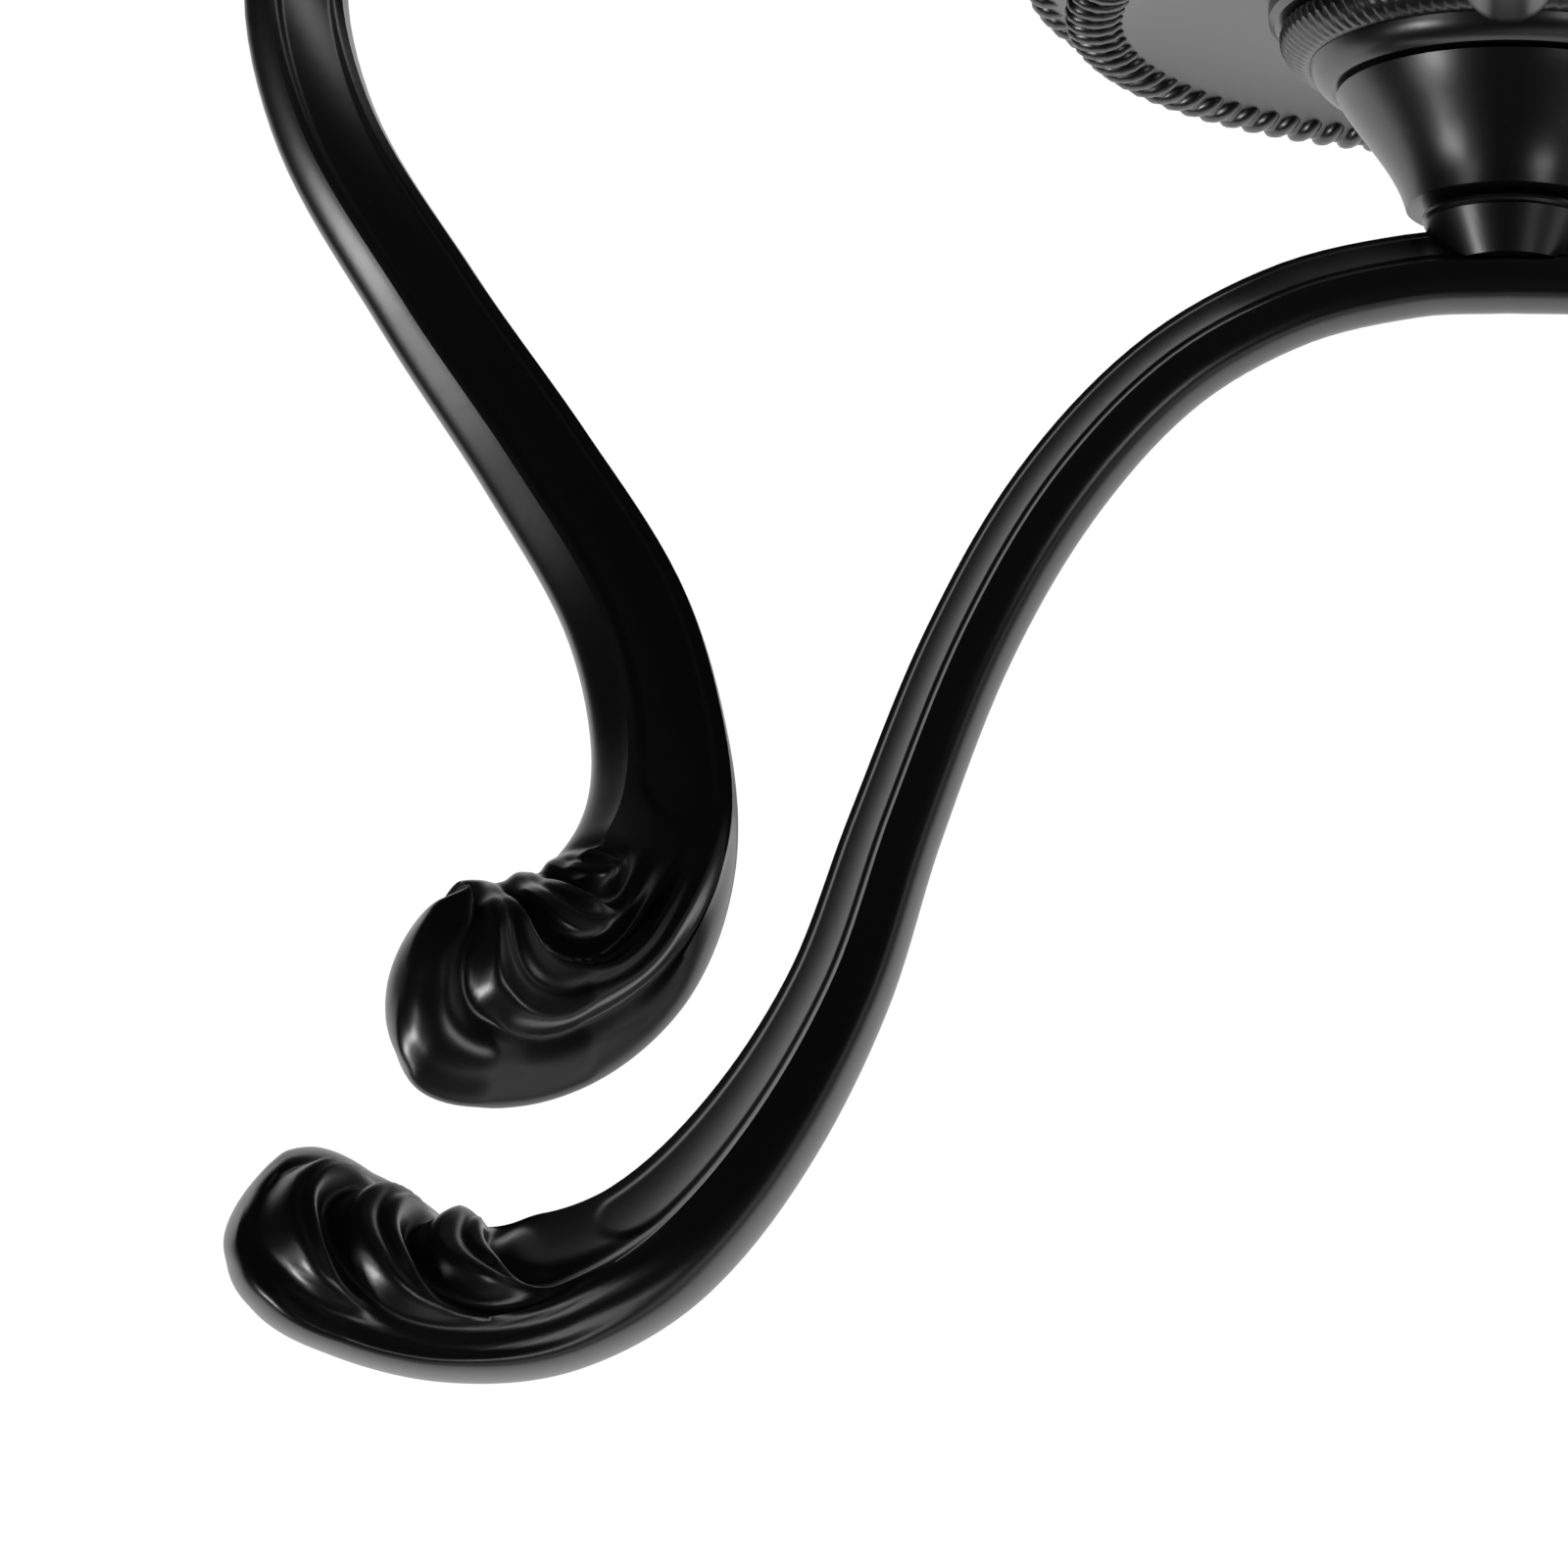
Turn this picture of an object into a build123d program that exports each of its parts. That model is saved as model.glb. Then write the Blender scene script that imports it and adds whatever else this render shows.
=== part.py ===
"""Ornate wall coat hook: a rope-edged rosette that carries two double arms with leaf tips.

Millimetres, +Z up. The wall is the plane Y = 0 and the hook stands out from it along -Y, so
every distance "out" below is measured from the wall. The origin is where the axis of the
rosette meets the wall. The left half (-X) of each pair of arms is drawn and then mirrored.
"""
from build123d import *
from math import cos, radians, sin
import os

os.makedirs("parts", exist_ok=True)

# Fits
CLEAR = 0.15           # room around studs and screws
SEAT = 0.02            # room between faces that are drawn together

# Wall bracket, the hidden steel strip that is screwed to the wall
BRACKET_LENGTH = 44.0
BRACKET_WIDTH = 17.0
BRACKET_THICK = 1.6
WALL_HOLE_SPACING = 30.0
WALL_HOLE_R = 2.2

# Central stud and the smaller studs that hold the arms
STUD_R = 3.0
STUD_GRIP = 4.2        # length held in the neck
ARM_STUD_R = 2.0
ARM_STUD_GRIP = 2.8    # length held in the arm's casting
NECK_STUD_GRIP = 3.0   # length of the same stud held in the neck

# Back rosette
BACK_R = 30.0          # over the rope edge
BACK_ROPE_R = 1.5
BACK_ROPE_PROUD = 0.25  # how far the rope stands in front of the flat of the disc
BACK_THICK = 3.4
BACK_WEB = 1.3
BACK_FLUTES = 80

# Front rosette, the concave dish
DISH_R = 26.8
DISH_ROPE_R = 1.25
DISH_RIM_OUT = 4.9     # middle of the rope, out from the wall
DISH_FLOOR_OUT = 4.5
DISH_FLUTES = 96
FLUTE_LEAN = 28        # how far the rope's grooves lean, in degrees

# Turned pieces on the axis, from the dish outwards
BOSS_R = 14.8
BOSS_OUT = 5.5
COLLAR_R = 14.2
COLLAR_OUT = 8.1
COLLAR_FLUTES = 60
BAND_R = 12.4
BAND_OUT = 9.6
NECK_BASE_R = 10.6
NECK_TOP_R = 6.3
NECK_OUT = 17.2
BEAD_R = 5.3
BEAD_OUT = 18.2

# Upper stem, which rises from a pad on the dish to the upper arms
STEM_FOOT_Z = 20.0
STEM_PAD_OUT = 5.6
STEM_FOOT_R = 4.4
STEM_FOOT_THICK = 1.2
STEM_R = 2.9
STEM_OUT = 9.2
STEM_TOP_Z = 42.0
STEM_HEAD_R = 3.6
SCREW_HEAD_R = 3.5
SCREW_HEAD_THICK = 1.5

# Arm section, as shares of its width and thickness: a flat face between two creases on a
# rounded back
CREASE = 0.72
FACE = 0.40
SUNK = 0.05


def out_plane(out):
    """The plane parallel to the wall, `out` from it, facing away from the wall."""
    return Plane.XZ.offset(out)


def turned(*outline):
    """Revolve a closed half section about the rosette's axis. Corners are (radius, out)."""
    with BuildSketch(Plane.XY) as section:
        with BuildLine():
            Polyline(*[(radius, -out) for radius, out in outline], close=True)
        make_face()
    revolve(section.sketch, axis=Axis.Y)


def rope_corners(middle_radius, middle_out, rope_r):
    """The front, outer and back corners of a rope drawn as an octagon, before its grooves."""
    corner_r = rope_r / cos(radians(22.5))
    return [
        (middle_radius + corner_r * cos(radians(angle)), middle_out + corner_r * sin(radians(angle)))
        for angle in (112.5, 67.5, 22.5, -22.5, -67.5)
    ]


def cut_grooves(count, radius, width, length, lean=0):
    """Cut V grooves into a rim, all round the axis, in the plane of the part being made.

    The first groove starts half a pitch on, so that none lies across the rim's own seam.
    """
    with PolarLocations(radius, count, start_angle=180 / count):
        Box(width, width, length, rotation=(lean, 0, 45), mode=Mode.SUBTRACT)


def arm_section(plane, width, thick):
    """One cross-section of an arm: local x is across the flat face, local y comes out of it."""
    half = width / 2
    with BuildSketch(plane) as section:
        with BuildLine():
            face = Spline(
                (CREASE * half, FACE * thick),
                (0, (FACE - SUNK) * thick),
                (-CREASE * half, FACE * thick),
            )
            Spline(
                face @ 1,
                (-half, 0.0),
                (-0.62 * half, -0.42 * thick),
                (0, -0.58 * thick),
                (0.62 * half, -0.42 * thick),
                (half, 0.0),
                face @ 0,
            )
        make_face()
    return section.sketch


def arm_planes(stations):
    """A plane across the arm at each station, with its y axis out of the flat face.

    A station is (x, out, z, width, thick, tilt). The tilt turns the flat face from straight
    up towards the left of the way the arm runs, in degrees.
    """
    points = [Vector(x, -out, z) for x, out, z, *_ in stations]
    planes = []
    for index, station in enumerate(stations):
        before = points[max(index - 1, 0)]
        after = points[min(index + 1, len(points) - 1)]
        along = Vector(-1, 0, 0) if index == 0 else (after - before).normalized()
        up = (Vector(0, 0, 1) - along * along.Z).normalized()
        left = along.cross(up)
        tilt = radians(station[5])
        face_out = up * cos(tilt) + left * sin(tilt)
        planes.append(Plane(origin=points[index], x_dir=face_out.cross(along), z_dir=along))
    return planes


def leaf_rib(plane, ahead, radius, tube_r, height):
    """A C-shaped rib of a leaf tip, lying along the flat face and open towards the arm.

    The plane is an arm plane: its z runs towards the tip and its y comes out of the face.
    """
    middle = plane.origin + plane.z_dir * ahead + plane.y_dir * height
    past = radians((RIB_SWEEP - 180) / 2)
    start = plane.x_dir * cos(past) - plane.z_dir * sin(past)
    across_rib = Plane(origin=middle, x_dir=start, z_dir=start.cross(plane.y_dir))
    with BuildSketch(across_rib) as bar:
        with Locations((radius, 0)):
            RegularPolygon(tube_r, 8, rotation=22.5)
    revolve(bar.sketch, axis=Axis(middle, plane.y_dir * -1), revolution_arc=RIB_SWEEP)


# Lower arms: an arch against the neck, an S out and down the sides, then the leaf tips
LOWER_ARM = [
    (0, 21.1, 0.0, 6.2, 4.5, 50),
    (-5.8, 21.3, -0.2, 6.2, 4.5, 50),
    (-13.5, 23.1, -0.6, 6.4, 4.5, 50),
    (-21.0, 27.4, -1.1, 6.6, 4.6, 52),
    (-27.7, 34.8, -1.6, 6.8, 4.8, 54),
    (-33.0, 44.3, -1.8, 6.7, 4.8, 55),
    (-37.4, 56.0, -1.5, 6.9, 5.0, 55),
    (-40.8, 66.7, -0.4, 7.7, 5.5, 54),
    (-45.7, 76.2, 1.5, 9.2, 6.4, 52),
    (-51.5, 83.3, 3.5, 10.6, 7.4, 48),
    (-57.6, 86.8, 5.4, 12.0, 8.0, 44),
    (-63.6, 87.5, 7.6, 13.6, 8.6, 42),
    (-69.2, 86.4, 9.6, 14.8, 8.4, 40),
    (-73.0, 84.9, 11.2, 13.8, 7.4, 40),
    (-74.8, 83.9, 12.0, 10.4, 5.6, 40),
    (-75.5, 83.4, 12.4, 3.0, 1.8, 40),
]

# Upper arms: a wide lyre that comes forward over the lower pair
UPPER_ARM = [
    (0, 9.2, 46.0, 6.6, 5.0, -20),
    (-12.5, 9.1, 46.1, 6.5, 5.0, -20),
    (-25.0, 8.6, 46.5, 6.4, 5.0, -20),
    (-37.0, 7.8, 46.8, 6.3, 5.0, -20),
    (-48.0, 6.8, 46.8, 6.2, 5.0, -20),
    (-58.5, 6.1, 46.2, 6.2, 5.0, -20),
    (-67.4, 7.6, 44.4, 6.2, 5.0, -20),
    (-71.7, 13.8, 41.4, 6.3, 5.0, -20),
    (-70.3, 22.8, 37.6, 6.5, 5.2, -20),
    (-64.1, 33.0, 34.2, 7.0, 5.4, -22),
    (-57.5, 42.6, 32.4, 7.5, 5.8, -24),
    (-52.3, 51.4, 32.0, 8.0, 6.4, -25),
    (-50.0, 60.0, 33.6, 8.5, 7.0, -24),
    (-49.9, 67.2, 37.0, 9.7, 7.6, -20),
    (-52.2, 73.5, 41.0, 11.5, 8.0, -14),
    (-56.2, 77.3, 45.0, 13.2, 8.4, -10),
    (-60.2, 78.7, 48.2, 13.0, 8.0, -10),
    (-62.7, 78.6, 50.0, 9.2, 5.8, -10),
    (-63.8, 78.5, 50.8, 3.0, 1.8, -10),
]

# Ribs of a leaf tip, from the rim back: station counted from the tip, distance ahead of it,
# radius of the C and radius of the rib itself
LEAF_RIBS = [
    (-4, 0.0, 5.6, 1.25),
    (-5, 2.2, 5.0, 1.25),
    (-5, -3.0, 4.3, 1.15),
    (-6, -1.4, 3.0, 1.0),
]
RIB_SWEEP = 200
RIB_SETTLE = 0.55      # how far the middle of a rib lies below the creases


def arm_pair(stations):
    """Build both arms of a pair inside the part that is being made."""
    planes = arm_planes(stations)
    sections = [
        arm_section(plane, station[3], station[4]) for plane, station in zip(planes, stations)
    ]
    loft(sections=sections)
    for station, ahead, radius, tube_r in LEAF_RIBS:
        height = FACE * stations[station][4] - RIB_SETTLE
        leaf_rib(planes[station], ahead, radius, tube_r, height)
    mirror(about=Plane.YZ)


with BuildPart() as wall_bracket:
    with BuildSketch(out_plane(0)):
        SlotOverall(BRACKET_LENGTH, BRACKET_WIDTH)
        with GridLocations(WALL_HOLE_SPACING, 0, 2, 1):
            Circle(WALL_HOLE_R, mode=Mode.SUBTRACT)
        Circle(STUD_R, mode=Mode.SUBTRACT)
    extrude(amount=BRACKET_THICK)
wall_bracket.part.label = "wall_bracket"
export_step(wall_bracket.part, "parts/wall_bracket.step")

with BuildPart() as central_stud:
    with BuildSketch(out_plane(0.2)):
        Circle(STUD_R)
    extrude(amount=BAND_OUT + STUD_GRIP - 0.4)
    chamfer(central_stud.edges().filter_by(GeomType.CIRCLE), 0.4)
central_stud.part.label = "central_stud"
export_step(central_stud.part, "parts/central_stud.step")

rope_out = BACK_THICK + BACK_ROPE_PROUD - BACK_ROPE_R
with BuildPart(out_plane(rope_out)) as back_rosette:
    rope_middle = BACK_R - BACK_ROPE_R
    web_back = BACK_THICK - BACK_WEB
    turned(
        (STUD_R + CLEAR, web_back),
        (STUD_R + CLEAR, BACK_THICK),
        (rope_middle - 1.1, BACK_THICK),
        *rope_corners(rope_middle, rope_out, BACK_ROPE_R),
        (rope_middle + 0.4, rope_out - BACK_ROPE_R),
        (rope_middle + 0.4, 0),
        (rope_middle - 1.0, 0),
        (rope_middle - 1.0, web_back - 1.0),
        (rope_middle - 2.6, web_back),
    )
    cut_grooves(BACK_FLUTES, BACK_R + 0.1, 0.9, 3.4, FLUTE_LEAN)
    with BuildSketch(out_plane(0)):
        with Locations((0, STEM_FOOT_Z)):
            Circle(ARM_STUD_R + CLEAR)
    extrude(amount=BACK_THICK, mode=Mode.SUBTRACT)
back_rosette.part.label = "back_rosette"
export_step(back_rosette.part, "parts/back_rosette.step")

with BuildPart(out_plane(DISH_RIM_OUT)) as front_rosette:
    rope_middle = DISH_R - DISH_ROPE_R
    dish_seat = BACK_THICK + SEAT
    with BuildSketch(Plane.XY) as dish:
        with BuildLine():
            floor = Line((STUD_R + CLEAR, -DISH_FLOOR_OUT), (BOSS_R, -DISH_FLOOR_OUT))
            bowl = ThreePointArc(
                floor @ 1,
                (20.6, -DISH_FLOOR_OUT - 0.15),
                (rope_middle - 0.9, -DISH_RIM_OUT - 0.7),
            )
            rope = rope_corners(rope_middle, DISH_RIM_OUT, DISH_ROPE_R)
            Polyline(
                bowl @ 1,
                *[(radius, -out) for radius, out in rope],
                (rope_middle - 2.0, -dish_seat),
                (STUD_R + CLEAR, -dish_seat),
                floor @ 0,
            )
        make_face()
    revolve(dish.sketch, axis=Axis.Y)
    cut_grooves(DISH_FLUTES, DISH_R + 0.1, 0.8, 3.0, FLUTE_LEAN)
    with BuildSketch(out_plane(dish_seat)) as pad:
        with Locations((0, STEM_FOOT_Z)):
            Circle(STEM_FOOT_R + 0.4)
    extrude(pad.sketch, amount=STEM_PAD_OUT - dish_seat)
    with BuildSketch(out_plane(0)) as screw_hole:
        with Locations((0, STEM_FOOT_Z)):
            Circle(ARM_STUD_R + CLEAR)
    extrude(screw_hole.sketch, amount=10, mode=Mode.SUBTRACT)
front_rosette.part.label = "front_rosette"
export_step(front_rosette.part, "parts/front_rosette.step")

with BuildPart() as boss_ring:
    turned(
        (STUD_R + CLEAR, DISH_FLOOR_OUT + SEAT),
        (STUD_R + CLEAR, BOSS_OUT),
        (BOSS_R - 0.4, BOSS_OUT),
        (BOSS_R, BOSS_OUT - 0.4),
        (BOSS_R, DISH_FLOOR_OUT + SEAT),
    )
boss_ring.part.label = "boss_ring"
export_step(boss_ring.part, "parts/boss_ring.step")

with BuildPart(out_plane(COLLAR_OUT)) as fluted_collar:
    turned(
        (STUD_R + CLEAR, BOSS_OUT + SEAT),
        (STUD_R + CLEAR, COLLAR_OUT),
        (BAND_R, COLLAR_OUT),
        (BAND_R + 0.9, COLLAR_OUT - 0.4),
        (COLLAR_R - 0.2, COLLAR_OUT - 1.2),
        (COLLAR_R, BOSS_OUT + 0.8),
        (COLLAR_R - 0.6, BOSS_OUT + SEAT),
    )
    cut_grooves(COLLAR_FLUTES, COLLAR_R + 0.1, 0.7, 8)
fluted_collar.part.label = "fluted_collar"
export_step(fluted_collar.part, "parts/fluted_collar.step")

with BuildPart() as collar_band:
    with BuildSketch(Plane.XY) as band_half:
        with BuildLine():
            back = Line(
                (STUD_R + CLEAR, -COLLAR_OUT - SEAT), (BAND_R - 0.1, -COLLAR_OUT - SEAT)
            )
            round_side = ThreePointArc(
                back @ 1, (NECK_BASE_R + 1.2, -COLLAR_OUT - 0.9), (NECK_BASE_R + 0.3, -BAND_OUT)
            )
            Polyline(
                round_side @ 1,
                (NECK_BASE_R - 0.6, -BAND_OUT),
                (NECK_BASE_R - 0.8, -BAND_OUT + 0.3),
                (STUD_R + CLEAR, -BAND_OUT + 0.3),
                back @ 0,
            )
        make_face()
    revolve(band_half.sketch, axis=Axis.Y)
collar_band.part.label = "collar_band"
export_step(collar_band.part, "parts/collar_band.step")

with BuildPart() as flared_neck:
    neck_seat = BAND_OUT - 0.3 + SEAT
    with BuildSketch(Plane.XY) as neck_half:
        with BuildLine():
            back = Line((0, -neck_seat), (NECK_BASE_R - 1.0, -neck_seat))
            step = Line(back @ 1, (NECK_BASE_R - 1.0, -BAND_OUT - 0.35))
            lip = Line(step @ 1, (NECK_BASE_R, -BAND_OUT - 0.35))
            flare = Spline(
                lip @ 1,
                (8.6, -12.9),
                (7.1, -15.2),
                (NECK_TOP_R, -NECK_OUT),
            )
            Polyline(flare @ 1, (0, -NECK_OUT), (0, -neck_seat))
        make_face()
    revolve(neck_half.sketch, axis=Axis.Y)
    with BuildSketch(out_plane(neck_seat)) as stud_hole:
        Circle(STUD_R)
    extrude(stud_hole.sketch, amount=STUD_GRIP + 0.3, mode=Mode.SUBTRACT)
    with BuildSketch(out_plane(NECK_OUT)) as arm_hole:
        Circle(ARM_STUD_R)
    extrude(arm_hole.sketch, amount=-NECK_STUD_GRIP - 0.3, mode=Mode.SUBTRACT)
flared_neck.part.label = "flared_neck"
export_step(flared_neck.part, "parts/flared_neck.step")

with BuildPart() as neck_bead:
    turned(
        (ARM_STUD_R + CLEAR, NECK_OUT + SEAT),
        (ARM_STUD_R + CLEAR, BEAD_OUT),
        (BEAD_R - 0.3, BEAD_OUT),
        (BEAD_R, BEAD_OUT - 0.3),
        (BEAD_R, NECK_OUT + 0.5),
        (BEAD_R - 0.5, NECK_OUT + SEAT),
    )
neck_bead.part.label = "neck_bead"
export_step(neck_bead.part, "parts/neck_bead.step")

with BuildPart() as lower_arm_stud:
    with BuildSketch(out_plane(NECK_OUT - NECK_STUD_GRIP)):
        Circle(ARM_STUD_R)
    extrude(amount=BEAD_OUT + ARM_STUD_GRIP - NECK_OUT + NECK_STUD_GRIP)
    chamfer(lower_arm_stud.edges().filter_by(GeomType.CIRCLE), 0.3)
lower_arm_stud.part.label = "lower_arm_stud"
export_step(lower_arm_stud.part, "parts/lower_arm_stud.step")

with BuildPart() as lower_arms:
    arm_pair(LOWER_ARM)
    with BuildSketch(out_plane(BEAD_OUT + SEAT)) as saddle:
        Circle(BEAD_R - 0.4)
    extrude(saddle.sketch, amount=2.4, taper=-4)
    with BuildSketch(out_plane(NECK_OUT)) as arm_hole:
        Circle(ARM_STUD_R)
    hole_depth = BEAD_OUT - NECK_OUT + ARM_STUD_GRIP + 0.3
    extrude(arm_hole.sketch, amount=hole_depth, mode=Mode.SUBTRACT)
lower_arms.part.label = "lower_arms"
export_step(lower_arms.part, "parts/lower_arms.step")

with BuildPart() as upper_stem:
    stem_seat = STEM_PAD_OUT + SEAT
    bend = STEM_OUT - stem_seat - 0.2
    with BuildLine(Plane.YZ) as stem_line:
        foot = Line((-stem_seat, STEM_FOOT_Z), (-stem_seat - 0.2, STEM_FOOT_Z))
        elbow = JernArc(foot @ 1, foot % 1, bend, -90)
        Line(elbow @ 1, (-STEM_OUT, STEM_TOP_Z))
    with BuildSketch(Plane(origin=stem_line.line @ 0, z_dir=(0, -1, 0))) as round_bar:
        Circle(STEM_R)
    sweep(round_bar.sketch, path=stem_line.line)
    with BuildSketch(out_plane(stem_seat)) as flange:
        with Locations((0, STEM_FOOT_Z)):
            Circle(STEM_FOOT_R)
    extrude(flange.sketch, amount=STEM_FOOT_THICK)
    with BuildSketch(Plane.XY.offset(STEM_TOP_Z)) as head:
        with Locations((0, -STEM_OUT)):
            Circle(STEM_HEAD_R)
    extrude(head.sketch, amount=-2.0)
    with BuildSketch(out_plane(stem_seat)) as screw_hole:
        with Locations((0, STEM_FOOT_Z)):
            Circle(ARM_STUD_R)
    extrude(screw_hole.sketch, amount=3.2, mode=Mode.SUBTRACT)
    with BuildSketch(Plane.XY.offset(STEM_TOP_Z)) as stud_hole:
        with Locations((0, -STEM_OUT)):
            Circle(ARM_STUD_R)
    extrude(stud_hole.sketch, amount=-4.3, mode=Mode.SUBTRACT)
upper_stem.part.label = "upper_stem"
export_step(upper_stem.part, "parts/upper_stem.step")

with BuildPart() as stem_screw:
    screw_seat = BACK_THICK - BACK_WEB - SEAT
    with BuildSketch(out_plane(screw_seat)) as screw_head:
        with Locations((0, STEM_FOOT_Z)):
            Circle(SCREW_HEAD_R)
    extrude(screw_head.sketch, amount=-SCREW_HEAD_THICK)
    with BuildSketch(out_plane(screw_seat)) as shank:
        with Locations((0, STEM_FOOT_Z)):
            Circle(ARM_STUD_R)
    extrude(shank.sketch, amount=STEM_PAD_OUT + 3.0 - screw_seat)
    with BuildSketch(out_plane(screw_seat - SCREW_HEAD_THICK)) as slot:
        with Locations((0, STEM_FOOT_Z)):
            Rectangle(2.2 * SCREW_HEAD_R, 0.8)
    extrude(slot.sketch, amount=0.7, mode=Mode.SUBTRACT)
stem_screw.part.label = "stem_screw"
export_step(stem_screw.part, "parts/stem_screw.step")

with BuildPart() as upper_arm_stud:
    with BuildSketch(Plane.XY.offset(STEM_TOP_Z - 4.0)):
        with Locations((0, -STEM_OUT)):
            Circle(ARM_STUD_R)
    extrude(amount=4.0 + ARM_STUD_GRIP)
    chamfer(upper_arm_stud.edges().filter_by(GeomType.CIRCLE), 0.3)
upper_arm_stud.part.label = "upper_arm_stud"
export_step(upper_arm_stud.part, "parts/upper_arm_stud.step")

with BuildPart() as upper_arms:
    arm_pair(UPPER_ARM)
    with BuildSketch(Plane.XY.offset(STEM_TOP_Z + SEAT)) as saddle:
        with Locations((0, -STEM_OUT)):
            Circle(STEM_R)
    extrude(saddle.sketch, amount=3.4, taper=-4)
    with BuildSketch(Plane.XY.offset(STEM_TOP_Z)) as stud_hole:
        with Locations((0, -STEM_OUT)):
            Circle(ARM_STUD_R)
    extrude(stud_hole.sketch, amount=ARM_STUD_GRIP + 0.3, mode=Mode.SUBTRACT)
upper_arms.part.label = "upper_arms"
export_step(upper_arms.part, "parts/upper_arms.step")
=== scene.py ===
"""Looks of the ornate coat hook: finer arms, rope edges and flutes, the finishes and the studio.

The frame's units are metres. The hook's own lengths below are millimetres, which MM turns into
metres; those of the camera, the floor and the lamps are metres.
"""
import math

import bmesh
import bpy
from mathutils import Matrix, Vector


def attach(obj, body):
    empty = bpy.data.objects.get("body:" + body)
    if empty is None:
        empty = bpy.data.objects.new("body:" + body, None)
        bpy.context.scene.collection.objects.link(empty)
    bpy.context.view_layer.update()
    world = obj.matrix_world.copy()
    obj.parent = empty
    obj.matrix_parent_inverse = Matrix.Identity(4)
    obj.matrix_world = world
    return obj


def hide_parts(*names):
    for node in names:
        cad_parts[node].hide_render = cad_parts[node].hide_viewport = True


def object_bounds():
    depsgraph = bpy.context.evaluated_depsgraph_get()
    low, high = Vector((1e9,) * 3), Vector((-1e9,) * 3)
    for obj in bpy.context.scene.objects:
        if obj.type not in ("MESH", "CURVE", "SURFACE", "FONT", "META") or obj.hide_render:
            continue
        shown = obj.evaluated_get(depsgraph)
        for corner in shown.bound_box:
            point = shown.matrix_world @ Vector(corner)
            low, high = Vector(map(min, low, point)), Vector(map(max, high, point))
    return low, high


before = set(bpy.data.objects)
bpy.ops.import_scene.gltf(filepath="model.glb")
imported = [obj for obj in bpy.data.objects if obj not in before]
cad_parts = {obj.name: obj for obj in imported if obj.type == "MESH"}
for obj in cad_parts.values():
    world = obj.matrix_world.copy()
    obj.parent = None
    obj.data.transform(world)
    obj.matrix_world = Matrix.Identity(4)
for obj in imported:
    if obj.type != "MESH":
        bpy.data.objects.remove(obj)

CAD_LOW, CAD_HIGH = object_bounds()
MM = 0.001

# The photograph's frame, and where the middle of the front rosette's rim lies in it
FRAME_PX = 1600
RIM_CENTRE_PX = (1540, 20)
PX_PER_MM = 16.5
RIM_CENTRE = Vector((0, -4.9, 0)) * MM
CAMERA_DISTANCE = 1.0
AXIS_TOWARDS_CAMERA = 0.296      # sine of the angle by which the neck leans to the camera

# Arm section, as shares of its width and thickness
CREASE = 0.72
FACE = 0.40
SUNK = 0.05

# Stations along the left arms: x, out from the wall, z, width, thickness, tilt of the face
LOWER_ARM = [
    (0, 21.1, 0.0, 6.2, 4.5, 50),
    (-5.8, 21.3, -0.2, 6.2, 4.5, 50),
    (-13.5, 23.1, -0.6, 6.4, 4.5, 50),
    (-21.0, 27.4, -1.1, 6.6, 4.6, 52),
    (-27.7, 34.8, -1.6, 6.8, 4.8, 54),
    (-33.0, 44.3, -1.8, 6.7, 4.8, 55),
    (-37.4, 56.0, -1.5, 6.9, 5.0, 55),
    (-40.8, 66.7, -0.4, 7.7, 5.5, 54),
    (-45.7, 76.2, 1.5, 9.2, 6.4, 52),
    (-51.5, 83.3, 3.5, 10.6, 7.4, 48),
    (-57.6, 86.8, 5.4, 12.0, 8.0, 44),
    (-63.6, 87.2, 7.6, 13.9, 8.6, 42),
    (-69.2, 85.6, 9.6, 15.4, 8.9, 40),
    (-73.0, 83.9, 11.2, 14.6, 8.5, 40),
    (-74.8, 82.9, 12.0, 10.8, 5.6, 40),
    (-75.5, 82.4, 12.4, 0.5, 0.4, 40),
]
UPPER_ARM = [
    (0, 9.2, 46.0, 6.6, 5.0, -20),
    (-12.5, 9.1, 46.1, 6.5, 5.0, -20),
    (-25.0, 8.6, 46.5, 6.4, 5.0, -20),
    (-37.0, 7.8, 46.8, 6.3, 5.0, -20),
    (-48.0, 6.8, 46.8, 6.2, 5.0, -20),
    (-58.5, 6.1, 46.2, 6.2, 5.0, -20),
    (-67.4, 7.6, 44.4, 6.2, 5.0, -20),
    (-71.7, 13.8, 41.4, 6.3, 5.0, -20),
    (-70.3, 22.8, 37.6, 6.5, 5.2, -20),
    (-64.1, 33.0, 34.2, 7.0, 5.4, -22),
    (-57.5, 42.6, 32.4, 7.5, 5.8, -24),
    (-52.3, 51.4, 32.0, 8.0, 6.4, -25),
    (-50.0, 60.0, 33.6, 8.5, 7.0, -24),
    (-49.9, 67.2, 37.0, 9.7, 7.6, -20),
    (-52.2, 73.5, 41.0, 11.5, 8.0, -14),
    (-56.2, 77.3, 45.0, 13.2, 8.4, -10),
    (-60.2, 78.7, 48.2, 13.0, 8.0, -10),
    (-62.7, 78.6, 50.0, 9.2, 5.8, -10),
    (-63.8, 78.5, 50.8, 0.5, 0.4, -10),
]

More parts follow.
